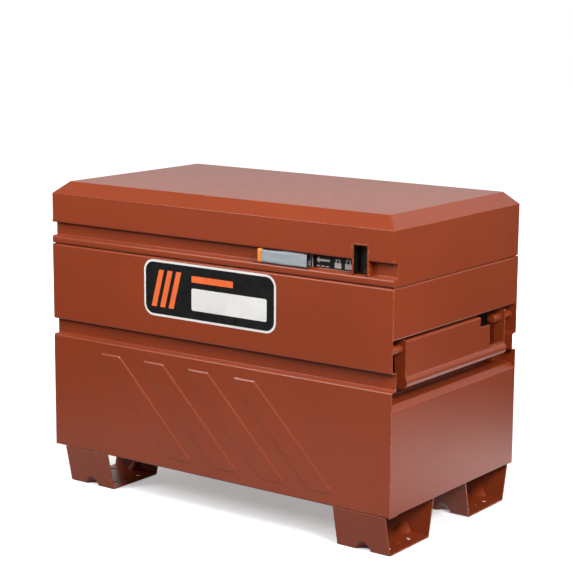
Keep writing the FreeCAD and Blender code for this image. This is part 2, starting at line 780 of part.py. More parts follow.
def handle_cheek(label, side, start):
    """End plate of a handle: it hangs on a pivot pin and closes the end of the grip."""
    body = new_body(label)
    end = start + s.handle_sheet
    inner = pivot_x - s.cheek_margin
    outer = handle_face
    outline = [
        (outer, grip_z, 0),
        (outer, handle_top, s.bend),
        (inner, handle_top, s.cheek_round),
        (inner, pivot_z - s.cheek_margin, s.cheek_round),
        (grip_x - s.grip_radius, grip_z + s.grip_radius, 0),
        (grip_x - s.grip_radius, grip_z, 0),
    ]
    hole = circle(pivot_x, pivot_z, s.pivot_radius + s.running_gap)
    roll = circle(grip_x, grip_z, s.grip_radius)
    pad(body, "Plate", "XZ", [mirrored(outline, side)], start, end)
    pad(body, "Roll", "XZ", [mirrored(roll, side)], start, end)
    cut(body, "PivotHole", "XZ", [mirrored(hole, side)], start - MARGIN, end + MARGIN)


def pivot_pins(label, side):
    """Two pins, each from the inside of a long wall through a cheek of the handle."""
    body = new_body(label)
    pin = mirrored(circle(pivot_x, pivot_z, s.pivot_radius), side)
    front_end = handle_front + s.handle_sheet + s.pivot_reach
    rear_end = handle_rear - s.handle_sheet - s.pivot_reach
    pad(body, "FrontPin", "XZ", [pin], front + s.panel_sheet, front_end)
    pad(body, "RearPin", "XZ", [pin], rear_end, rear - s.panel_sheet)


def handles():
    handle_plate("left_handle_plate", -1)
    right_handle_plate()
    for side, word in ((-1, "left"), (1, "right")):
        handle_cheek(f"{word}_handle_front_cheek", side, handle_front)
        handle_cheek(f"{word}_handle_rear_cheek", side, handle_rear - s.handle_sheet)
        pivot_pins(f"{word}_handle_pins", side)


# ---------------------------------------------------------------- hinge

hinge_y = rear + s.knuckle_radius
hinge_z = rim + s.seam_gap / 2
hinge_end = half_width - s.hinge_margin
knuckle_pitch = hinge_end * 2 / KNUCKLE_COUNT


def hinge_leaf(label, upward, first):
    """Leaf of the long hinge. Upward is 1 for the lid's leaf and -1 for the body's leaf, and
    first is the number of its first knuckle, counted from the left."""
    body = new_body(label)
    plate = rectangle(rear, rear + s.leaf_thickness, hinge_z, hinge_z + s.leaf_width * upward)
    barrel = circle(hinge_y, hinge_z, s.knuckle_radius)
    bore = circle(hinge_y, hinge_z, s.hinge_pin_radius + s.running_gap)
    pad(body, "Plate", "YZ", [plate], -hinge_end, hinge_end)
    pad(body, "Barrel", "YZ", [barrel], -hinge_end, hinge_end)
    cut(body, "Bore", "YZ", [bore], -hinge_end - MARGIN, hinge_end + MARGIN)
    past_z = hinge_z - (s.knuckle_radius + MARGIN) * upward
    near_z = hinge_z + (s.knuckle_radius + s.knuckle_gap) * upward
    gaps = []
    for number in range(1 - first, KNUCKLE_COUNT, 2):
        start = knuckle_pitch * number - hinge_end - s.knuckle_gap / 2
        end = start + knuckle_pitch + s.knuckle_gap
        gaps.append(rectangle(start, end, past_z, near_z))
    cut(body, "Gaps", "XZ", gaps, rear - MARGIN, rear + hinge_proud + MARGIN)


def hinge():
    hinge_leaf("hinge_body_leaf", -1, 0)
    hinge_leaf("hinge_lid_leaf", 1, 1)
    pin = new_body("hinge_pin")
    pad(pin, "Pin", "YZ", [circle(hinge_y, hinge_z, s.hinge_pin_radius)], -hinge_end, hinge_end)


# ---------------------------------------------------------------- lid

def lid_outline(inset, radius, run=0, rear_run=0):
    """The lid's outline from above, inset by a sheet and by the run of a chamfer."""
    side = half_width - inset - run
    return rectangle(-side, side, front + inset + run, rear - inset - rear_run, radius)


def chamfer_inside(run):
    """Run of the chamfer on the inside of the sheet, from its run on the outside."""
    slant = diagonal(run, s.chamfer_rise)
    return run + s.panel_sheet * ((slant - run) / s.chamfer_rise - 1)


def lid_shell():
    """Lid: chamfered sheet shell with a finger channel folded into its front."""
    body = new_body("lid_shell")
    sheet = s.panel_sheet
    chamfer_low = lid_top - s.chamfer_rise
    outer = lid_outline(0, s.corner_radius)
    crown = lid_outline(0, s.corner_radius, s.chamfer_run, s.rear_chamfer_run)
    pad(body, "Skirts", "XY", [outer], lid_low, chamfer_low)
    loft(body, "Crown", "Additive", "XY", outer, chamfer_low, crown, lid_top)
    slant = diagonal(s.chamfer_run, s.chamfer_rise)
    inner_low = chamfer_low - sheet * (slant - s.chamfer_rise) / s.chamfer_run
    inner_radius = s.corner_radius - sheet
    inner_run = chamfer_inside(s.chamfer_run)
    inner_rear_run = chamfer_inside(s.rear_chamfer_run)
    inner = lid_outline(sheet, inner_radius)
    inner_crown = lid_outline(sheet, inner_radius, inner_run, inner_rear_run)
    cut(body, "Inside", "XY", [inner], lid_low - MARGIN, inner_low)
    loft(body, "InsideCrown", "Subtractive", "XY", inner, inner_low, inner_crown, lid_top - sheet)
    hem_hole = rectangle(
        s.lid_hem - half_width, half_width - s.lid_hem, front + s.lid_hem, rear - s.lid_hem, s.bend
    )
    hem_edge = lid_outline(sheet / 2, inner_radius)
    pad(body, "Hem", "XY", [hem_edge, hem_hole], lid_low, lid_low + sheet)
    stub = s.bend + sheet * 2
    skirt = rectangle(front - MARGIN, front + sheet, lid_low - MARGIN, channel_high + stub)
    notch = rectangle(front - MARGIN, front + s.channel_depth, channel_low, channel_high)
    cut(body, "SkirtFront", "YZ", [skirt], -half_width - MARGIN, half_width + MARGIN)
    cut(body, "ChannelNotch", "YZ", [notch], -half_width - MARGIN, half_width + MARGIN)
    path = [
        (front, channel_high + stub),
        (front, channel_high),
        (front + s.channel_depth, channel_high),
        (front + s.channel_depth, channel_low),
        (front, channel_low, s.soft_bend),
        (front, lid_low),
        (front + s.lid_hem, lid_low),
    ]
    pad(body, "Channel", "YZ", [bent(path, sheet, -1)], -half_width, half_width)
    wall = s.housing_wall
    port = rectangle(port_left - wall, port_right + wall, channel_low, lid_low + s.port_high + wall)
    cut(body, "PortOpening", "XZ", [port], front - MARGIN, channel_back + MARGIN)
    slot_left = stud_x(0) - s.stud_radius - s.slot_gap
    slot_right = stud_x(1) + s.lock_travel + s.stud_radius + s.slot_gap
    reach = s.stud_radius + s.guide_gap
    slot = rectangle(slot_left, slot_right, bar_z - reach, bar_z + reach, s.bend)
    cut(body, "StudSlot", "XZ", [slot], front + s.channel_depth - MARGIN, channel_back + MARGIN)


def lid_stiffener(label, middle):
    """Hat-shaped channel from front to rear under the top of the lid."""
    body = new_body(label)
    top = lid_top - s.panel_sheet
    crown = s.stiffener_width / 2
    flange = crown + s.stiffener_flange
    path = [
        (middle - flange, top),
        (middle - crown, top),
        (middle - crown, top - s.stiffener_height),
        (middle + crown, top - s.stiffener_height),
        (middle + crown, top),
        (middle + flange, top),
    ]
    start = front + s.chamfer_run + s.panel_sheet
    end = rear - s.rear_chamfer_run - s.panel_sheet
    pad(body, "Hat", "XZ", [bent(path, s.panel_sheet, 1)], start, end)


def padlock_housing():
    """Steel box behind the padlock port, with a slot for the tongue of the lock bar."""
    body = new_body("padlock_housing")
    wall = s.housing_wall
    left, right = port_left - wall, port_right + wall
    high = lid_low + s.port_high
    back = front + s.housing_depth
    outer = rectangle(left, right, channel_low, high + wall)
    base = rectangle(left, right, channel_low - wall, channel_low)
    inner = rectangle(port_left, port_right, channel_low, high)
    pad(body, "Box", "XZ", [outer], front, back)
    pad(body, "Base", "XZ", [base], channel_back, back)
    cut(body, "Pocket", "XZ", [inner], front - MARGIN, back - wall)
    gap = s.guide_gap
    bar_back = bar_front + s.bar_thickness
    tongue = rectangle(bar_front - gap, bar_back + gap, bar_low - gap, bar_high + gap)
    cut(body, "TongueSlot", "YZ", [tongue], left - MARGIN, port_left + MARGIN)


def padlock_staple():
    """Fixed plate in the housing, with the hole that the padlock's shackle goes through."""
    body = new_body("padlock_staple")
    plate = rectangle(port_left, port_right, channel_low, lid_low + s.port_high)
    hole = circle((port_left + port_right) / 2, bar_z, s.shackle_radius)
    start = front + s.staple_y
    pad(body, "Plate", "XZ", [plate, hole], start, start + s.staple_thickness)


# ---------------------------------------------------------------- lock

bar_front = channel_back + s.bar_gap
bar_low = lid_low + s.bar_low
bar_high = bar_low + s.bar_height
bar_z = (bar_low + bar_high) / 2


def stud_x(number):
    return slide_left + s.stud_inset + s.stud_spacing * number


slide_low = channel_low + s.slide_gap
slide_high = channel_high - s.slide_gap
slide_face = front - s.slide_proud
slide_back = front + s.channel_depth - s.slide_gap


def slide_bar():
    """Folded cover in the finger channel, which a hand pushes along."""
    body = new_body("slide_bar")
    path = [
        (slide_back, slide_low),
        (slide_face, slide_low),
        (slide_face, slide_high),
        (slide_back, slide_high),
    ]
    profile = bent(path, s.slide_sheet, 1)
    pad(body, "Cover", "YZ", [profile], slide_left, slide_left + s.slide_length)


def slide_studs():
    """Two studs from the slide bar through the channel wall to the lock bar."""
    body = new_body("slide_studs")
    discs = [circle(stud_x(number), bar_z, s.stud_radius) for number in (0, 1)]
    pad(body, "Studs", "XZ", discs, slide_face + s.slide_sheet, bar_front)


def lock_bar():
    """Flat bar behind the channel. Its right end is the tongue that the shackle goes through."""
    body = new_body("lock_bar")
    tip = port_right - s.lock_travel
    tongue_hole = (port_left + port_right) / 2 - s.lock_travel
    blank = rectangle(s.bar_inset - half_width, tip, bar_low, bar_high, s.bend)
    hole = circle(tongue_hole, bar_z, s.shackle_radius)
    pad(body, "Bar", "XZ", [blank, hole], bar_front, bar_front + s.bar_thickness)


def lock_hook(label, left):
    """Hook under the lock bar. Its toe points right, the way the bar slides to lock."""
    body = new_body(label)
    right = left + s.hook_shank
    tip = right + s.hook_toe
    toe_high = rim - s.panel_sheet - s.keeper_thickness - MARGIN
    toe_low = toe_high - s.hook_toe_height
    half_toe = s.hook_toe_height / 2
    outline = [
        (left, bar_low, 0),
        (left, toe_low, s.bend),
        (tip - half_toe, toe_low, 0),
        (tip, toe_high - half_toe, 0),
        (tip, toe_high, 0),
        (right, toe_high, s.bend),
        (right, bar_low, 0),
    ]
    start = bar_front + (s.bar_thickness - s.hook_thickness) / 2
    pad(body, "Hook", "XZ", [outline], start, start + s.hook_thickness)


def lock_guide(label, middle):
    """Strap on the back of the channel wall that the lock bar slides through."""
    body = new_body(label)
    low = bar_low - s.guide_gap
    high = bar_high + s.guide_gap
    back = bar_front + s.bar_thickness + s.guide_gap
    path = [
        (channel_back, low),
        (back, low, s.guide_gap),
        (back, high, s.guide_gap),
        (channel_back, high),
    ]
    start = middle - s.guide_length / 2
    pad(body, "Strap", "YZ", [bent(path, s.guide_sheet, 1)], start, start + s.guide_length)


def position_flag():
    """Coloured cap in the left end of the slide bar. It stands in the channel and moves along."""
    body = new_body("position_flag")
    outside = s.bend + s.slide_sheet
    skin = s.slide_sheet + s.seat_gap
    cap = [
        (slide_face, slide_low, outside),
        (slide_back, slide_low, 0),
        (slide_back, slide_high, 0),
        (slide_face, slide_high, outside),
    ]
    spigot = rectangle(slide_face + skin, slide_back, slide_low + skin, slide_high - skin, s.bend)
    pad(body, "Cap", "YZ", [cap], slide_left - s.flag_length, slide_left)
    pad(body, "Spigot", "YZ", [spigot], slide_left, slide_left + s.flag_spigot)


def lock():
    slide_bar()
    slide_studs()
    lock_bar()
    lock_hook("left_lock_hook", hook_lefts[0])
    lock_hook("right_lock_hook", hook_lefts[1])
    sweep = s.hook_shank + s.hook_toe + s.lock_travel + s.guide_length
    lock_guide("left_lock_guide", hook_lefts[0] + sweep)
    lock_guide("middle_lock_guide", as_size(0.0) + s.guide_length)
    lock_guide("right_lock_guide", port_left - s.housing_wall - s.guide_length * 1.5)
    position_flag()


# ---------------------------------------------------------------- gas springs

spring_x = wall_inside - s.spring_standoff
spring_lid_y = rear - s.spring_lid_inset
spring_lid_z = lid_low + s.spring_lid_height
spring_base_y = spring_lid_y - s.spring_run
spring_base_z = rim - s.spring_base_drop
spring_length = diagonal(s.spring_run, spring_lid_z - spring_base_z)


def lay_spring(body, side):
    """Turns a piece built along Z so that it lies on the line between the two spring pivots."""
    along = Vector(0, s.spring_run.value, (spring_lid_z - spring_base_z).value)
    body.Placement = Placement(Vector(0, 0, 0), Rotation(Vector(0, 0, 1), along))
    body.setExpression("Placement.Base.x", (spring_x * side).text)
    body.setExpression("Placement.Base.y", spring_base_y.text)
    body.setExpression("Placement.Base.z", spring_base_z.text)


def swept_rod():
    """Stroke of the rod: how much further apart the two pivots are when the lid is open."""
    open_y = hinge_y + spring_lid_z - hinge_z
    open_z = hinge_z + hinge_y - spring_lid_y
    return diagonal(open_y - spring_base_y, open_z - spring_base_z) - spring_length


def spring_cylinder(label, side):
    """Gas spring cylinder with its lower eye, along Z from the eye's centre."""
    body = new_body(label)
    neck = s.eye_radius + s.spring_wall * 2
    floor = neck + s.spring_wall * 2
    nose = floor + s.piston_height + swept_rod() + s.piston_height * 2
    outer = s.spring_radius
    bore = outer - s.spring_wall
    hole = s.rod_radius + s.running_gap
    outline = [
        (0, s.eye_radius / 2, 0),
        (s.eye_radius / 2, s.eye_radius / 2, 0),
        (s.eye_radius / 2, neck, 0),
        (outer, neck, s.spring_wall),
        (outer, nose, s.spring_wall),
        (hole, nose, 0),
        (hole, nose - s.piston_height, 0),
        (bore, nose - s.piston_height, 0),
        (bore, floor, 0),
        (0, floor, 0),
    ]
    spin(body, "Tube", outline)
    add_eye(body, as_size(0.0))
    lay_spring(body, side)


def add_eye(body, z):
    """Flat ring about the X axis, at a height along the spring."""
    half_eye = s.eye_width / 2
    pad(body, "Eye", "YZ", [circle(0, z, s.eye_radius)], -half_eye, half_eye)
    hole = circle(0, z, s.spring_stud_radius + s.running_gap)
    cut(body, "EyeHole", "YZ", [hole], -half_eye - MARGIN, half_eye + MARGIN)


def spring_rod(label, side):
    """Rod with its piston inside the cylinder and its upper eye."""
    body = new_body(label)
    floor = s.eye_radius + s.spring_wall * 4
    low = floor + s.piston_height / 2
    piston = s.spring_radius - s.spring_wall - s.running_gap
    outline = [
        (0, low, 0),
        (piston, low, 0),
        (piston, low + s.piston_height, 0),
        (s.rod_radius, low + s.piston_height, 0),
        (s.rod_radius, spring_length - s.eye_radius / 2, 0),
        (0, spring_length - s.eye_radius / 2, 0),
    ]
    spin(body, "Rod", outline)
    add_eye(body, spring_length)
    lay_spring(body, side)


def spring_stud(label, y, z, start, end, side):
    body = new_body(label)
    pad_across(body, "Stud", [circle(y, z, s.spring_stud_radius)], start, end, side)


def spring_bracket(label, y, z, side):
    """Hat-shaped bracket that holds a spring pivot off the end wall."""
    body = new_body(label)
    crown = s.bracket_crown / 2
    flange = crown + s.bracket_flange
    face = spring_x + s.spring_radius + s.seat_gap + s.bracket_sheet
    wall = wall_inside
    path = [
        (wall, y - flange),
        (wall, y - crown),
        (face, y - crown),
        (face, y + crown),
        (wall, y + crown),
        (wall, y + flange),
    ]
    start = z - s.bracket_height / 2
    sheet = mirrored(bent(path, s.bracket_sheet, -1), side)
    pad(body, "Hat", "XY", [sheet], start, start + s.bracket_height)
    return body


def gas_springs():
    inner = spring_x - s.eye_width / 2
    outer = spring_x + s.spring_radius
    for side, word in ((-1, "left"), (1, "right")):
        base = (spring_base_y, spring_base_z)
        lid = (spring_lid_y, spring_lid_z)
        spring_bracket(f"{word}_spring_base_bracket", *base, side)
        spring_stud(f"{word}_spring_base_stud", *base, inner, outer + s.seat_gap, side)
        spring_cylinder(f"{word}_spring_cylinder", side)
        spring_rod(f"{word}_spring_rod", side)
        spring_stud(f"{word}_spring_lid_stud", *lid, inner, outer, side)
        spring_bracket(f"{word}_spring_lid_bracket", *lid, side)


# ---------------------------------------------------------------- build, check and write

def check_model():
    """Stops with a message if a feature failed, a cut removed nothing or a piece is not sound."""
    for item in doc.Objects:
        if "Invalid" in item.State or "Error" in item.State:
            raise RuntimeError(f"{item.Label} failed: {item.State}")
    for before, feature in cuts:
        if feature.Shape.Volume > before.Shape.Volume - 1e-3:
            raise RuntimeError(f"{feature.Label} removes nothing")
    for node in nodes:
        if node.Shape.isNull() or not node.Shape.isValid() or not node.Shape.Solids:
            raise RuntimeError(f"{node.Label} is not a sound solid")


def main():
    long_wall("rear_panel", rear, -1)
    front_wall()
    end_wall("left_end_panel", -1)
    right_end_wall()
    floor_plate()
    feet()
    rim_bumpers()
    lock_keepers()
    cord_port()
    handles()
    hinge()
    lid_shell()
    lid_stiffener("left_lid_stiffener", -s.stiffener_x)
    lid_stiffener("right_lid_stiffener", s.stiffener_x)
    padlock_housing()
    padlock_staple()
    lock()
    gas_springs()
    doc.recompute()
    check_model()
    os.makedirs("parts", exist_ok=True)
    for node in nodes:
        node.Shape.exportStep(f"parts/{node.Label}.step")
    print(f"{len(nodes)} pieces written")


main()
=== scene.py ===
# %% [markdown]
# # A jobsite storage box
# The box is a chest of folded and welded steel sheet with a heavy lid, made to stand outdoors on a
# building site. The model comes in as a fixed frame of exact pieces, so this lesson only finishes
# the surfaces, adds the printed film on them, and lights the box. Nothing here moves or resizes a
# steel piece. The frame is loaded first, because every place below is worked out from it.

# %% Load the frame
import json
import math

import bmesh
import bpy
from mathutils import Matrix, Vector


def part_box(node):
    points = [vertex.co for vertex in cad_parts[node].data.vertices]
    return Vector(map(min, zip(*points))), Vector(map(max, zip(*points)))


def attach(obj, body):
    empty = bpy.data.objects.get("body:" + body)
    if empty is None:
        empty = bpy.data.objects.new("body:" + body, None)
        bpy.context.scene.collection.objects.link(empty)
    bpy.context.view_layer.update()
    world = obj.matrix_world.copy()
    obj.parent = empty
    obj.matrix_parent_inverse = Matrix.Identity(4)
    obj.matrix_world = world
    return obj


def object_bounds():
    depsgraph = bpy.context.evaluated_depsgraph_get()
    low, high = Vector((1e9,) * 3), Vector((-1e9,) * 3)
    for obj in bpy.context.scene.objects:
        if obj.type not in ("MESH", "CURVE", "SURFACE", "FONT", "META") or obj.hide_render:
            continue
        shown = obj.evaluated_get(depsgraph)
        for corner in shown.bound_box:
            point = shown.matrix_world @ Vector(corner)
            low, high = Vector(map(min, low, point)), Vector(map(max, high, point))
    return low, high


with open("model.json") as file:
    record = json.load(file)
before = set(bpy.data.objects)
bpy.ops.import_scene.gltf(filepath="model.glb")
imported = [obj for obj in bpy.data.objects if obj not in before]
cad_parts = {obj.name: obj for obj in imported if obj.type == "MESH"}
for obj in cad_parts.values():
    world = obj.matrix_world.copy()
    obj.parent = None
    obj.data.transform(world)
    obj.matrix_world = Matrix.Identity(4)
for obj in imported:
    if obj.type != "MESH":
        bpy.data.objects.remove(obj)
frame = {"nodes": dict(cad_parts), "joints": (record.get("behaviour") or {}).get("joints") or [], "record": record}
frame_low, frame_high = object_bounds()
MM = 0.001
print("box in mm:", [round(size / MM, 1) for size in frame_high - frame_low])

# %% [markdown]
# ## Colours and nodes
# Paint colours are written as sRGB hex, the way a colour card or a picker gives them. Blender's
# shaders want linear light, so one function does the change. A second function adds a node, sets
# its inputs and joins its links in one line, which keeps each finish short enough to read.


# %% A colour and a node
def linear(hex_colour):
    """An sRGB hex colour as linear RGBA."""
    channels = [int(hex_colour[i:i + 2], 16) / 255 for i in (1, 3, 5)]
    return [c / 12.92 if c <= 0.04045 else ((c + 0.055) / 1.055) ** 2.4 for c in channels] + [1.0]


def add(tree, kind, inputs=None, **settings):
    """Adds a node. An input is set to a value, or linked when it is given another node's output."""
    node = tree.nodes.new(f"ShaderNode{kind}")
    for name, value in settings.items():
        setattr(node, name, value)
    for key, value in (inputs or {}).items():
        if isinstance(value, bpy.types.NodeSocket):
            tree.links.new(value, node.inputs[key])
        else:
            node.inputs[key].default_value = value
    return node


print("coat red-brown in linear light:", [round(c, 3) for c in linear("#8D3A1C")])


# %% A new material
def new_material(name, **surface):
    """A material with one Principled shader, whose own sockets are set by name."""
    material = bpy.data.materials.new(name)
    material.use_nodes = True
    tree = material.node_tree
    shader = tree.nodes["Principled BSDF"]
    for key, value in surface.items():
        shader.inputs[key.replace("_", " ")].default_value = value
    place = add(tree, "TexCoord").outputs["Object"]
    return material, tree, shader, place


def noise(tree, place, size_mm, stretch=(1, 1, 1), detail=2.0, roughness=0.5):
    """Noise whose lumps are about size_mm across, stretched along an axis by a factor."""
    scale = [1 / (size_mm * MM * factor) for factor in stretch]
    mapping = add(tree, "Mapping", {"Vector": place, "Scale": scale})
    texture = add(tree, "TexNoise", {
        "Vector": mapping.outputs["Vector"], "Scale": 1.0, "Detail": detail, "Roughness": roughness,
    })
    return texture.outputs["Fac"]


def remap(tree, value, low, high, new_low, new_high):
    """The value's stretch from low to high, spread from new_low to new_high and held there."""
    node = add(tree, "MapRange", {
        "Value": value, "From Min": low, "From Max": high, "To Min": new_low, "To Max": new_high,
    })
    return node.outputs["Result"]


def spread(tree, noise_value, new_low=0.0, new_high=1.0):
    """Noise keeps mostly between 0.3 and 0.7. That stretch is spread from new_low to new_high."""
    noise_low, noise_high = 0.3, 0.7
    return remap(tree, noise_value, noise_low, noise_high, new_low, new_high)


def times(tree, first, second):
    """Two values multiplied."""
    return add(tree, "Math", {0: first, 1: second}, operation="MULTIPLY").outputs[0]


def blend_colour(tree, factor, first, second):
    """The first colour where the factor is 0, and the second where it is 1."""
    node = add(tree, "Mix", data_type="RGBA")
    for socket, value in (("Factor", factor), ("A", first), ("B", second)):
        target = [s for s in node.inputs if s.name == socket and s.enabled][0]
        if isinstance(value, bpy.types.NodeSocket):
            tree.links.new(value, target)
        else:
            target.default_value = value
    return [s for s in node.outputs if s.enabled][0]


def edge_wear_and_highlight(tree, radius_mm):
    """Near 1 along an edge and 0 on a flat face: how far a rounded normal turns from the real one."""
    rounded = add(tree, "Bevel", {"Radius": radius_mm * MM}, samples=6)
    real = add(tree, "NewGeometry").outputs["Normal"]
    match = add(tree, "VectorMath", {0: rounded.outputs["Normal"], 1: real}, operation="DOT_PRODUCT")
    # The match is 1 where both normals agree, and falls as they part.
    flat_match, edge_match = 0.998, 0.93
    return remap(tree, match.outputs["Value"], flat_match, edge_match, 0.0, 1.0)


# %% [markdown]
# ## Powder-coated steel
# The chest is sprayed with dry powder and baked. The film is about 0.1 mm thick, semi-gloss, and
# never quite flat: it dries into the fine dimples called orange peel, which break up reflections.
# On a folded edge the film is pulled thin, so the edge looks paler, and knocks chip it first there.
# The paler edge tone is partly that thin film and partly a painted highlight along the folds.
# A fold also has a small radius. The frame's edges are sharp, so a rounded normal draws it, and it
# catches the light as a soft line. One material could be a plain red-brown, but these effects are
# what make a large flat panel look like painted steel.


# %% Powder coat
def powder_coat(name, hex_colour, pale_and_highlight_hex, chip_hex, roughness):
    """The coat's colour, its paler tone on edges, partly thin film and partly painted highlight, and the colour of
    a chip.
    """
    material, tree, shader, place = new_material(name, IOR=1.5, Specular_IOR_Level=0.5)
    sheet_tone = noise(tree, place, size_mm=260, detail=3)
    film_tone = noise(tree, place, size_mm=14, detail=3)
    dark = [c * 0.90 for c in linear(hex_colour)[:3]] + [1.0]
    colour = blend_colour(tree, spread(tree, sheet_tone), dark, linear(hex_colour))
    edge = edge_wear_and_highlight(tree, radius_mm=1.2)
    # Along an edge the paler tone, thin film and painted highlight in one, comes and goes, from a twentieth of it
    # to three fifths.
    pale_and_highlight_noise = noise(tree, place, size_mm=60, detail=4)
    pale_and_highlight_amount = remap(tree, pale_and_highlight_noise, 0.35, 0.65, 0.05, 0.60)
    colour = blend_colour(tree, times(tree, edge, pale_and_highlight_amount), colour, linear(pale_and_highlight_hex))
    # Only the peaks of this noise, above 0.61, are knocks that chip the film.
    knock_tone = noise(tree, place, size_mm=5, detail=1)
    knocks = remap(tree, knock_tone, 0.61, 0.65, 0.0, 0.9)
    colour = blend_colour(tree, times(tree, edge, knocks), colour, linear(chip_hex))
    tree.links.new(colour, shader.inputs["Base Color"])
    sheen = spread(tree, film_tone, roughness - 0.01, roughness + 0.03)
    tree.links.new(sheen, shader.inputs["Roughness"])
    # Real orange peel has dimples under 1 mm apart, drawn here at 3 mm so that they show.
    peel = noise(tree, place, size_mm=3, detail=1)
    fold = add(tree, "Bevel", {"Radius": 1.6 * MM}, samples=6).outputs["Normal"]
    bump = add(tree, "Bump", {"Height": peel, "Strength": 0.10, "Distance": 0.15 * MM, "Normal": fold})
    tree.links.new(bump.outputs["Normal"], shader.inputs["Normal"])
    return material


# The second colour of each coat is its thin-film edge tone, which is also a painted highlight on the folds.
coat_red = powder_coat("powder_coat_red_brown", "#8D3A1C", "#CC7142", "#D9B8A2", 0.33)
coat_black = powder_coat("powder_coat_black", "#1A1412", "#4B4745", "#7A7573", 0.34)
print("made", coat_red.name, "and", coat_black.name)

# %% [markdown]
# ## Zinc-plated steel
# The lock's bars, hooks and brackets are plated, not painted. Zinc leaves a pale warm grey with
# faint cloudy crystals, and the plating smooths the tool marks of the sheet under it. A metallic
# shader with a cloudy colour and roughness gives that without any picture.


# %% Zinc plate
def zinc_plate(name):
    material, tree, shader, place = new_material(name, Metallic=1.0)
    cloud = noise(tree, place, size_mm=7, detail=5, roughness=0.7)
    colour = blend_colour(tree, spread(tree, cloud), linear("#A9A69C"), linear("#CFCBBE"))
    tree.links.new(colour, shader.inputs["Base Color"])
    tree.links.new(spread(tree, cloud, 0.28, 0.42), shader.inputs["Roughness"])
    grain = noise(tree, place, size_mm=1.2, stretch=(6, 1, 1))
    bump = add(tree, "Bump", {"Height": grain, "Strength": 0.12, "Distance": 0.05 * MM})
    tree.links.new(bump.outputs["Normal"], shader.inputs["Normal"])
    return material


zinc = zinc_plate("zinc_plated_steel")
print("made", zinc.name)

# %% [markdown]
# ## Brushed stainless steel
# The slide is the one bright piece on the front. A belt is run along it, so the scratches all
# follow its length and it reflects as a soft band across them. Long thin noise, the scratches,
# drives the colour and a slight bump, and wider bands drive the roughness. Real scratches are finer
# than any noise that still shows, so the shader is anisotropic as well. The bar's edges are rolled,
# which a rounded normal draws, and the paler colour along them is a painted highlight.


# %% Brushed stainless
def brushed_stainless(name):
    material, tree, shader, place = new_material(
        name, Metallic=1.0, Anisotropic=0.8, Anisotropic_Rotation=0.25,
    )
    scratches = noise(tree, place, size_mm=0.5, stretch=(140, 1, 1), detail=3)
    bands = noise(tree, place, size_mm=4, stretch=(20, 1, 1))
    colour = blend_colour(tree, spread(tree, scratches), linear("#848A90"), linear("#A1A6AB"))
    # The paler edge colour is a painted highlight along the bar's rolled edges.
    colour = blend_colour(tree, edge_wear_and_highlight(tree, radius_mm=2.5), colour, linear("#E3E6E9"))
    tree.links.new(colour, shader.inputs["Base Color"])
    tree.links.new(spread(tree, bands, 0.50, 0.60), shader.inputs["Roughness"])
    rolled = add(tree, "Bevel", {"Radius": 3 * MM}, samples=8).outputs["Normal"]
    bump = add(tree, "Bump", {
        "Height": scratches, "Strength": 0.25, "Distance": 0.04 * MM, "Normal": rolled,
    })
    tree.links.new(bump.outputs["Normal"], shader.inputs["Normal"])
    return material


stainless = brushed_stainless("brushed_stainless_steel")
print("made", stainless.name)

# %% [markdown]
# ## Chromed rod
# A gas spring's rod is ground and plated with hard chrome, so it is the smoothest metal on the box.
# Only a trace of oil is left on it where the seal wipes, which shows as slightly rougher patches.


# %% Hard chrome
def hard_chrome(name):
    material, tree, shader, place = new_material(name, Metallic=1.0, Base_Color=linear("#D6D9DC"))
    oil = noise(tree, place, size_mm=3, detail=3)
    tree.links.new(spread(tree, oil, 0.06, 0.16), shader.inputs["Roughness"])
    return material


chrome = hard_chrome("hard_chrome")
print("made", chrome.name)

# %% [markdown]
# ## Rubber, moulded plastic and printed film
# These are all smooth plastics with an IOR near 1.5, and what tells them apart is how rough the
# tool or the film left them. Rubber is dark and scatters light widely. ABS comes out of an etched
# mould with a fine leather-like grain. Printed vinyl film is glossier and has hardly any texture,
# only the slight waviness of the glue under it. The enamel on the slide's cap dries as smooth as a
# film, so the same function makes it.


# %% Plastics and films
def plastic(name, hex_colour, roughness, grain_mm, grain_height_mm):
    """A plastic surface: cloudy over 12 grains, of uneven gloss over 4, and bumpy with each one."""
    material, tree, shader, place = new_material(name, IOR=1.5)
    tone = spread(tree, noise(tree, place, grain_mm * 12, detail=3))
    dark = [c * 0.86 for c in linear(hex_colour)[:3]] + [1.0]
    tree.links.new(blend_colour(tree, tone, dark, linear(hex_colour)), shader.inputs["Base Color"])
    rough = spread(tree, noise(tree, place, grain_mm * 4), roughness - 0.04, roughness + 0.06)
    tree.links.new(rough, shader.inputs["Roughness"])
    height = noise(tree, place, grain_mm, detail=2)
    bump = add(tree, "Bump", {"Height": height, "Strength": 0.4, "Distance": grain_height_mm * MM})
    tree.links.new(bump.outputs["Normal"], shader.inputs["Normal"])
    return material


rubber = plastic("epdm_rubber", "#141415", 0.62, 1.2, 0.05)
abs_black = plastic("abs_black", "#1B1B1C", 0.48, 0.9, 0.04)
orange_paint = plastic("orange_enamel", "#EE9040", 0.30, 2.5, 0.02)
film_black = plastic("vinyl_film_black", "#191919", 0.30, 5.0, 0.02)
film_white = plastic("vinyl_film_white", "#E6E4E1", 0.30, 5.0, 0.02)
film_orange = plastic("vinyl_film_orange", "#F1703A", 0.30, 5.0, 0.02)
film_sign = plastic("vinyl_film_pale", "#B4A8A7", 0.34, 5.0, 0.02)
print("made", [m.name for m in (rubber, abs_black, orange_paint)])
print("made", [m.name for m in (film_black, film_white, film_orange, film_sign)])

# %% [markdown]
# ## Dress the steel
# The record of the model says which slot each piece belongs to. Going through that list gives
# every piece its finish, so none is left plain.

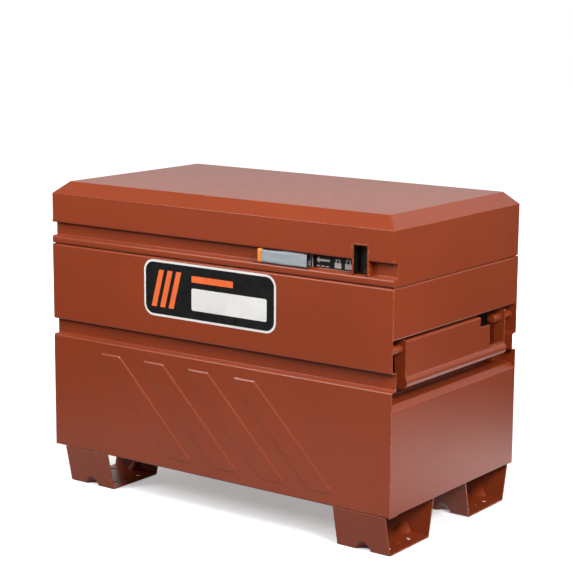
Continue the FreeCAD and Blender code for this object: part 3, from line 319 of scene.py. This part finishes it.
# %% Give each piece its finish
FINISHES = {
    "body_enamel": coat_red,
    "plated_steel": zinc,
    "brushed_steel": stainless,
    "flag_orange": orange_paint,
    "black_rubber": rubber,
    "black_plastic": abs_black,
    "black_enamel": coat_black,
    "chrome_rod": chrome,
}
slot_of = {row["node"]: row["material_slot"] for row in frame["record"]["subparts"]}
for node, piece in frame["nodes"].items():
    piece.data.materials.clear()
    piece.data.materials.append(FINISHES[slot_of[node]])
print("dressed", len(slot_of), "pieces in", len(FINISHES), "finishes")

# %% [markdown]
# ## A dark pocket in the padlock housing
# The housing is one piece, red-brown outside. The faces of its pocket are made near-black with a
# second material on its mesh, the black coat, given to each face whose middle lies within the
# housing's outer box. A black piece set into it could do it too, but it would hide the real walls.

# %% Second finish inside the housing
skin = 1 * MM
housing = frame["nodes"]["padlock_housing"].data
housing.materials.append(coat_black)
outer_low, outer_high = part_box("padlock_housing")
for face in housing.polygons:
    if all(outer_low[i] + skin < face.center[i] < outer_high[i] - skin for i in range(3)):
        face.material_index = 1
print("housing faces in black:", sum(face.material_index for face in housing.polygons))

# %% [markdown]
# ## Flat printed pieces
# The badge and the lock label are film stuck on the steel. They could be painted into the coat's
# material, but a real film has an edge and its own gloss, so each colour is cut as a thin plate.
# A plate is drawn as an outline seen from the front and given a thickness toward the viewer.


# %% Outlines
def rounded(x0, x1, z0, z1, radius, steps=10):
    """A rectangle with round corners, as points counter-clockwise seen from the front."""
    corners = [(x1, z0, -90), (x1, z1, 0), (x0, z1, 90), (x0, z0, 180)]
    points = []
    for x, z, start in corners:
        centre_x = x - radius if x == x1 else x + radius
        centre_z = z - radius if z == z1 else z + radius
        for step in range(steps + 1):
            angle = math.radians(start + 90 * step / steps)
            points.append((centre_x + radius * math.cos(angle), centre_z + radius * math.sin(angle)))
    return points


def slanted(x0, width, z0, z1, lean):
    """An upright bar whose top is moved sideways by lean."""
    return [(x0, z0), (x0 + width, z0), (x0 + width + lean, z1), (x0 + lean, z1)]


def film(name, outlines, back_y, thickness, body, material):
    """Thin plates cut to the outlines, standing off back_y toward the front."""
    mesh = bpy.data.meshes.new(name)
    shape = bmesh.new()
    for outline in outlines:
        face = shape.faces.new([shape.verts.new((x, back_y, z)) for x, z in outline])
        moved = bmesh.ops.extrude_face_region(shape, geom=[face])["geom"]
        verts = [item for item in moved if isinstance(item, bmesh.types.BMVert)]
        bmesh.ops.translate(shape, verts=verts, vec=(0, -thickness, 0))
    bmesh.ops.recalc_face_normals(shape, faces=shape.faces)
    shape.to_mesh(mesh)
    shape.free()
    mesh.materials.append(material)
    piece = bpy.data.objects.new(name, mesh)
    bpy.context.scene.collection.objects.link(piece)
    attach(piece, body)
    return piece


front_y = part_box("lid_shell")[0].y
print("front face at", round(front_y / MM, 1), "mm")

# %% [markdown]
# ## Badge on the front
# The badge is 357 mm wide and nearly fills the flat above the stiffening groove. It has a white
# edge round a black field. Its motif is a plain one: slanted orange bars on the left, and on the
# right a wide white bar with a thin orange one over it. Each layer of film stands one step prouder
# than the one under it.

# %% Badge
badge_low, badge_high = 427 * MM, 551 * MM
badge_left, badge_right = -185 * MM, 172 * MM
badge_radius = 26 * MM
film_step = 0.12 * MM
edge_width = 5 * MM
field_left, field_right = badge_left + edge_width, badge_right - edge_width
field_low, field_high = badge_low + edge_width, badge_high - edge_width
film("badge_edge", [rounded(badge_left, badge_right, badge_low, badge_high, badge_radius)],
     front_y, film_step, "chest", film_white)
film("badge_field", [rounded(field_left, field_right, field_low, field_high, badge_radius - edge_width)],
     front_y, film_step * 2, "chest", film_black)

# %% Badge motif
bar_margin, bar_width, bar_pitch, bar_lean = 16 * MM, 14 * MM, 24 * MM, 22 * MM
motif_left, band_right, strip_right = -52 * MM, 148 * MM, 60 * MM
band_low, band_high, band_radius = 451 * MM, 499 * MM, 4 * MM
strip_low, strip_high, strip_radius = 512 * MM, 526 * MM, 2 * MM
bars = [
    slanted(field_left + bar_margin + bar_pitch * i, bar_width,
            field_low + bar_margin, field_high - bar_margin, bar_lean)
    for i in range(3)
]
bars.append(rounded(motif_left, strip_right, strip_low, strip_high, strip_radius))
film("badge_bars", bars, front_y, film_step * 3, "chest", film_orange)
film("badge_band", [rounded(motif_left, band_right, band_low, band_high, band_radius)],
     front_y, film_step * 3, "chest", film_white)
print("badge", round((badge_right - badge_left) / MM), "x", round((badge_high - badge_low) / MM), "mm")

# %% [markdown]
# ## Lock label
# Right of the slide a strip of black film lies on the floor of the channel. It tells the hand
# which way to push: an arrow, a closed padlock and an open one. Its left end is hatched and lies
# just behind the slide's end, so it shows only from the right. Behind the slide the channel has a
# slot for its two studs, so the film starts right of where the last stud comes to at full travel.

# %% Lock label
sheet = 2 * MM
channel_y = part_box("middle_lock_guide")[0].y - sheet
slide_low, slide_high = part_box("slide_bar")
slide_end = slide_high.x
slide_margin, stud_gap, housing_gap = 1.2 * MM, 3 * MM, 0.2 * MM
lock_travel = [joint["range_m"][1] for joint in frame["joints"] if joint["name"] == "lock_travel"][0]
label_low, label_high = slide_low.z + slide_margin, slide_high.z - slide_margin
label_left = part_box("slide_studs")[1].x + lock_travel + stud_gap
label_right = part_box("padlock_housing")[0].x - housing_gap
label_mid = (label_low + label_high) / 2
film("lock_label", [rounded(label_left, label_right, label_low, label_high, 1 * MM)],
     channel_y, film_step, "lid", film_black)
print("label", round((label_right - label_left) / MM), "mm long")

# %% Hatched end and line
hatch_inset, hatch_width, hatch_pitch, hatch_lean = 0.6 * MM, 1.1 * MM, 2.4 * MM, 2.2 * MM
hatch_margin = 1.5 * MM
hatch = [
    slanted(label_left + hatch_inset + hatch_pitch * i, hatch_width,
            label_low + hatch_margin, label_high - hatch_margin, hatch_lean)
    for i in range(3)
]
film("lock_label_hatch", hatch, channel_y, film_step * 2, "lid", film_white)
line_left, line_right = slide_end + 1.0 * MM, slide_end + 2.6 * MM
film("lock_label_line", [rounded(line_left, line_right, label_low, label_high, 0.3 * MM)],
     channel_y, film_step * 2, "lid", film_white)
print("hatch of", len(hatch), "bars, and a line right of the slide")


# %% Signs on the label
def arrow(tip_x, length, half_head, half_shaft, z):
    """An arrow that points left, with its tip at tip_x."""
    neck = tip_x + half_head
    tail = tip_x + length
    return [(tip_x, z), (neck, z - half_head), (neck, z - half_shaft), (tail, z - half_shaft),
            (tail, z + half_shaft), (neck, z + half_shaft), (neck, z + half_head)]


def padlock(x, z, lift):
    """Body, two posts and top of a small padlock sign. The shackle is lifted for an open one."""
    half_body, body_drop, body_rise = 8 * MM, 10 * MM, 1 * MM
    half_shackle, shackle_rise, post, corner = 5.4 * MM, 8 * MM, 2 * MM, 0.3 * MM
    left, right = x - half_shackle, x + half_shackle
    low, high = z + lift, z + shackle_rise + lift
    return [
        rounded(x - half_body, x + half_body, z - body_drop, z + body_rise, 1 * MM),
        rounded(left, left + post, low, high, corner),
        rounded(right - post, right, z, high, corner),
        rounded(left, right, high - post, high, corner),
    ]


arrow_start, arrow_rise = slide_end + 11 * MM, 3 * MM
signs = [arrow(arrow_start, 33 * MM, 7 * MM, 2.2 * MM, label_mid + arrow_rise)]
dash_first, dash_pitch, dash_length = 12 * MM, 11 * MM, 8 * MM
dash_low, dash_high = label_low + 3 * MM, label_low + 4.6 * MM
for i in range(3):
    dash_left = slide_end + dash_first + dash_pitch * i
    signs.append(rounded(dash_left, dash_left + dash_length, dash_low, dash_high, 0.4 * MM))
film("lock_label_arrow", signs, channel_y, film_step * 2, "lid", film_sign)
closed_place, open_place, open_lift = slide_end + 64 * MM, slide_end + 89 * MM, 2 * MM
closed_sign = padlock(closed_place, label_mid, 0)
padlocks = closed_sign + padlock(open_place, label_mid, open_lift)
for number, outline in enumerate(padlocks):
    # The pieces of a sign overlap, so each is a little thicker, and no two fronts lie in one plane.
    layers = 2 + 0.1 * (number % len(closed_sign))
    film(f"lock_label_sign_{number}", [outline], channel_y, film_step * layers, "lid", film_sign)
print("an arrow,", len(signs) - 1, "dashes and two padlocks")

# %% [markdown]
# ## Floor, light and camera
# The box stands on a white sweep in a studio. To the camera the sweep and the world are white.
# What the box sees is not the same: the sweep is bright close by and behind it, and the room in
# front is dark. That is why the lid's top looks pale at a low angle while the front keeps its full
# colour. Five soft panels light the box. A small one from the front left draws crisp shadows under
# the folds. One above the front and one on the right light the front bevel more than the face under
# it, and the right one stands high enough to leave the handle's recess in shade. The last two light
# the left end and the back. The lid's flat top or its bevel would mirror the right, rear and left
# panels as white patches from the opposite side, so these three are hidden from glossy rays and
# give diffuse light only.

# %% Floor
FLOOR_REACH = 12.0
LIFT_NEAR, LIFT_FAR = 0.35, 1.0
BOUNCE_IN_FRONT, BOUNCE_BEHIND = 0.15, 0.75
GLOSS_LIFT = 1.2
floor_corners = [(-FLOOR_REACH, -FLOOR_REACH, 0), (FLOOR_REACH, -FLOOR_REACH, 0),
                 (FLOOR_REACH, FLOOR_REACH, 0), (-FLOOR_REACH, FLOOR_REACH, 0)]
floor_mesh = bpy.data.meshes.new("floor")
floor_mesh.from_pydata(floor_corners, [], [(0, 1, 2, 3)])
floor = bpy.data.objects.new("floor", floor_mesh)
bpy.context.scene.collection.objects.link(floor)
print("floor", 2 * FLOOR_REACH, "m wide")

# %% White sweep
# Where each effect starts and ends, in metres from the origin, or along Y from it.
MIRRORED_REACH = (0.8, 1.45)
MIRRORED_RISE = (-0.3, 1.0)
BOUNCE_RISE = (0.35, 0.8)
GLOW_RISE = (-0.1, 0.4)
GLOW_FALL = (0.6, 1.1)
CAMERA_REACH = (0.7, 2.0)
floor_material, tree, shader, _ = new_material("white_sweep", Roughness=0.9, Specular_IOR_Level=0.1)
spot = add(tree, "NewGeometry").outputs["Position"]
distance = add(tree, "VectorMath", {0: spot}, operation="LENGTH").outputs["Value"]
spot_y = add(tree, "SeparateXYZ", {0: spot}).outputs["Y"]
rays = add(tree, "LightPath").outputs
near = remap(tree, distance, *MIRRORED_REACH, 1.0, 0.0)
backward = remap(tree, spot_y, *MIRRORED_RISE, 0.5, 0.8)
glossy_white = times(tree, near, backward)
whiteness = add(tree, "Mix", {"Factor": rays["Is Glossy Ray"], "A": 0.9, "B": glossy_white})
bounce = remap(tree, spot_y, *BOUNCE_RISE, BOUNCE_IN_FRONT, BOUNCE_BEHIND)
bounced = add(tree, "Mix", {
    "Factor": rays["Is Diffuse Ray"], "A": whiteness.outputs["Result"], "B": bounce,
})
tree.links.new(bounced.outputs["Result"], shader.inputs["Base Color"])
risen = remap(tree, spot_y, *GLOW_RISE, 0.0, 1.0)
behind = times(tree, risen, remap(tree, spot_y, *GLOW_FALL, 1.0, 0.2))
glossy_lift = times(tree, times(tree, rays["Is Glossy Ray"], near), times(tree, behind, GLOSS_LIFT))
camera_level = remap(tree, distance, *CAMERA_REACH, LIFT_NEAR, LIFT_FAR)
camera_lift = times(tree, rays["Is Camera Ray"], camera_level)
lift = add(tree, "Math", {0: glossy_lift, 1: camera_lift}).outputs[0]
glow = add(tree, "Emission", {"Strength": lift})
total = add(tree, "AddShader", {0: shader.outputs[0], 1: glow.outputs[0]})
tree.links.new(total.outputs[0], tree.nodes["Material Output"].inputs["Surface"])
floor_mesh.materials.append(floor_material)
print("floor finished as", floor_material.name)

# %% World
# The levels in front and behind, and how far toward the back each turns from one to the other.
ROOM_LIGHT, BACKDROP_LIGHT = 0.07, 0.26
ROOM_GLOSS, BACKDROP_GLOSS = 0.03, 0.78
LIGHT_TURN, GLOSS_TURN = (-0.1, 0.8), (-0.2, 0.5)
world = bpy.data.worlds.new("studio")
bpy.context.scene.world = world
world.use_nodes = True
tree = world.node_tree
rays = add(tree, "LightPath").outputs
direction = add(tree, "TexCoord").outputs["Generated"]
toward_back = add(tree, "SeparateXYZ", {0: direction}).outputs["Y"]
gloss = remap(tree, toward_back, *GLOSS_TURN, ROOM_GLOSS, BACKDROP_GLOSS)
soft = remap(tree, toward_back, *LIGHT_TURN, ROOM_LIGHT, BACKDROP_LIGHT)
plain = add(tree, "Mix", {"Factor": rays["Is Glossy Ray"], "A": soft, "B": gloss})
seen = {0: rays["Is Camera Ray"], 1: rays["Is Transmission Ray"]}
white = add(tree, "Math", seen, operation="MAXIMUM")
strength = add(tree, "Mix", {"Factor": white.outputs[0], "A": plain.outputs["Result"], "B": 1.0})
background = tree.nodes["Background"]
background.inputs["Color"].default_value = (1, 1, 1, 1)
tree.links.new(strength.outputs["Result"], background.inputs["Strength"])
print("world lights from", ROOM_LIGHT, "in front to", BACKDROP_LIGHT, "behind")

# %% Soft panels
centre = (frame_low + frame_high) / 2


def toward(azimuth, elevation):
    """Direction from the box: azimuth 0 is in front of it and 90 on its right."""
    a, e = math.radians(azimuth), math.radians(elevation)
    return Vector((math.sin(a) * math.cos(e), -math.cos(a) * math.cos(e), math.sin(e)))


def soft_panel(name, azimuth, elevation, distance, size, level, mirrored=True):
    """A square panel. A white surface that faces it is lit to the level given, where 1 is white."""
    light = bpy.data.lights.new(name, "AREA")
    light.size = size
    light.energy = level * math.pi ** 2 * distance ** 2
    lamp = bpy.data.objects.new(name, light)
    away = toward(azimuth, elevation)
    lamp.location = centre + away * distance
    lamp.rotation_mode = "QUATERNION"
    lamp.rotation_quaternion = away.to_track_quat("Z", "Y")
    lamp.visible_glossy = mirrored
    bpy.context.scene.collection.objects.link(lamp)


soft_panel("key_light", azimuth=-30, elevation=25, distance=2.6, size=0.6, level=0.42)
soft_panel("overhead_light", azimuth=8, elevation=46, distance=2.0, size=1.1, level=0.43)
soft_panel("right_panel_light", azimuth=66, elevation=32, distance=3.4, size=1.2, level=1.03,
           mirrored=False)
soft_panel("rear_panel_light", azimuth=185, elevation=22, distance=3.6, size=1.6, level=0.38,
           mirrored=False)
soft_panel("left_panel_light", azimuth=262, elevation=20, distance=3.6, size=2.0, level=0.44,
           mirrored=False)
print("five soft panels")

# %% Camera
IMAGE_WIDTH = 573
FOCAL_PIXELS = 1693.5
SENSOR_WIDTH = 36.0
AZIMUTH, ELEVATION, ROLL = 36.01, 10.58, math.radians(0.40)
camera_place = Vector((2.1998, -3.0102, 1.1677))
back = toward(AZIMUTH, ELEVATION)
sideways = toward(AZIMUTH + 90, 0)
upright = back.cross(sideways)
right = sideways * math.cos(ROLL) + upright * math.sin(ROLL)
up = upright * math.cos(ROLL) - sideways * math.sin(ROLL)
camera_data = bpy.data.cameras.new("camera")
camera_data.sensor_width = SENSOR_WIDTH
camera_data.lens = SENSOR_WIDTH * FOCAL_PIXELS / IMAGE_WIDTH
camera = bpy.data.objects.new("camera", camera_data)
camera.matrix_world = Matrix.Translation(camera_place) @ Matrix((right, up, back)).transposed().to_4x4()
bpy.context.scene.collection.objects.link(camera)
bpy.context.scene.camera = camera
bpy.context.scene.view_settings.view_transform = "Standard"
print("lens", round(camera_data.lens, 1), "mm")
